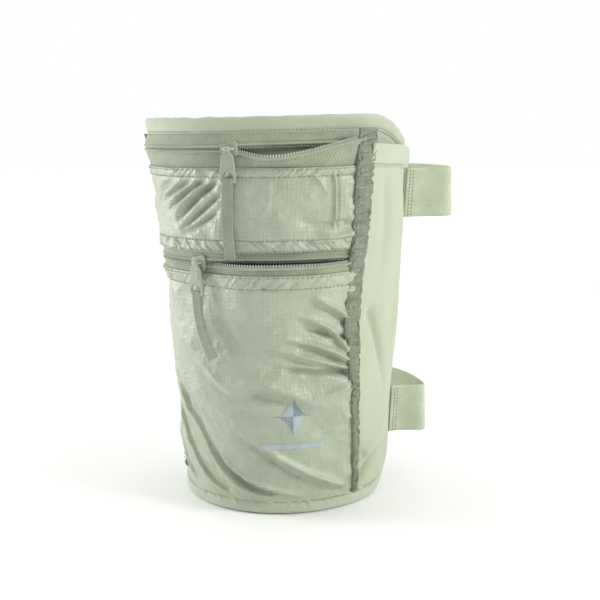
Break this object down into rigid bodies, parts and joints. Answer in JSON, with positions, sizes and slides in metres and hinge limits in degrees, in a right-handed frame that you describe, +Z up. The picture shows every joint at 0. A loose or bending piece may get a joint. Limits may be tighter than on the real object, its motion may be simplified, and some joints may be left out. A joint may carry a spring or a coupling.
{
  "type": "calf pouch wallet",
  "caption": "Pouch worn round the calf: zipped main and card pockets in ripstop on a stretch back panel, held by elastic straps with touch fastener.",
  "frame": {"origin": "on the calf's axis, in the plane that the bottom hem rests on", "axes": "+Z up along the calf's axis, pockets facing -Y, the gusset and the strap seams on the +X side"},
  "size_m": [0.1544, 0.1497, 0.195],
  "materials": {
    "jersey": "matt stretch jersey",
    "hem": "matt stretch jersey, folded and topstitched",
    "ripstop": "silky ripstop nylon with a fine grid",
    "lining": "plain-woven nylon lining",
    "binding": "folded ripstop binding, topstitched",
    "print": "thin screen print",
    "zip_tape": "herringbone-woven zip tape",
    "zip_coil": "nylon coil",
    "slider_paint": "satin paint on a die-cast slider",
    "webbing": "narrow woven tape",
    "elastic": "ribbed elastic webbing",
    "hook_tape": "hook side of touch fastener",
    "loop_tape": "loop side of touch fastener"
  },
  "bodies": {
    "root": {"back_panel": "jersey", "side_gusset": "jersey", "top_hem": "hem", "bottom_hem": "hem", "gusset_hem": "hem", "upper_pocket_panel": "ripstop", "lower_pocket_panel": "ripstop", "pocket_divider": "lining", "right_seam_binding": "binding", "left_seam_binding": "binding", "print_mark": "print", "top_zip_upper_tape": "zip_tape", "top_zip_lower_tape": "zip_tape", "card_zip_upper_tape": "zip_tape", "card_zip_lower_tape": "zip_tape", "top_zip_upper_coil": "zip_coil", "top_zip_lower_coil": "zip_coil", "card_zip_upper_coil": "zip_coil", "card_zip_lower_coil": "zip_coil", "upper_loop_patch": "loop_tape", "lower_loop_patch": "loop_tape"},
    "top_slider": {"top_zip_slider": "slider_paint"},
    "top_tab": {"top_zip_pull_tab": "slider_paint"},
    "top_pull": {"top_zip_webbing_pull": "webbing"},
    "card_slider": {"card_zip_slider": "slider_paint"},
    "card_tab": {"card_zip_pull_tab": "slider_paint"},
    "card_pull": {"card_zip_webbing_pull": "webbing"},
    "upper_strap": {"upper_elastic_strap": "elastic", "upper_hook_patch": "hook_tape"},
    "lower_strap": {"lower_elastic_strap": "elastic", "lower_hook_patch": "hook_tape"}
  },
  "joints": [
    {"name": "top_slider_travel", "type": "hinge", "parent": "root", "child": "top_slider", "pos_m": [0, 0, 0.1807], "axis": [0, 0, 1], "range_deg": [-69, 45], "deforming": ["top_zip_upper_tape", "top_zip_lower_tape", "top_zip_upper_coil", "top_zip_lower_coil", "upper_pocket_panel"]},
    {"name": "top_tab_swing", "type": "hinge", "parent": "top_slider", "child": "top_tab", "pos_m": [-0.00125, -0.07139, 0.1807], "axis": [-0.9998, 0.0175, 0], "range_deg": [0, 165]},
    {"name": "top_pull_swing", "type": "hinge", "parent": "top_tab", "child": "top_pull", "pos_m": [-0.00125, -0.07139, 0.1661], "axis": [0.9998, -0.0175, 0], "range_deg": [-150, 0]},
    {"name": "card_slider_travel", "type": "hinge", "parent": "root", "child": "card_slider", "pos_m": [0.00442, -0.00696, 0.1286], "axis": [0, 0, 1], "range_deg": [-36, 59], "deforming": ["card_zip_upper_tape", "card_zip_lower_tape", "card_zip_upper_coil", "card_zip_lower_coil", "lower_pocket_panel"]},
    {"name": "card_tab_swing", "type": "hinge", "parent": "card_slider", "child": "card_tab", "pos_m": [-0.01912, -0.07065, 0.1286], "axis": [-0.9416, 0.3368, 0], "range_deg": [0, 165]},
    {"name": "card_pull_swing", "type": "hinge", "parent": "card_tab", "child": "card_pull", "pos_m": [-0.01912, -0.07065, 0.114], "axis": [0.9416, -0.3368, 0], "range_deg": [-150, 0]},
    {"name": "upper_strap_open", "type": "hinge", "parent": "root", "child": "upper_strap", "pos_m": [0.06672, 0.00819, 0.1545], "axis": [0, 0, -1], "range_deg": [0, 80]},
    {"name": "lower_strap_open", "type": "hinge", "parent": "root", "child": "lower_strap", "pos_m": [0.05797, 0.00712, 0.04], "axis": [0, 0, -1], "range_deg": [0, 80]}
  ]
}
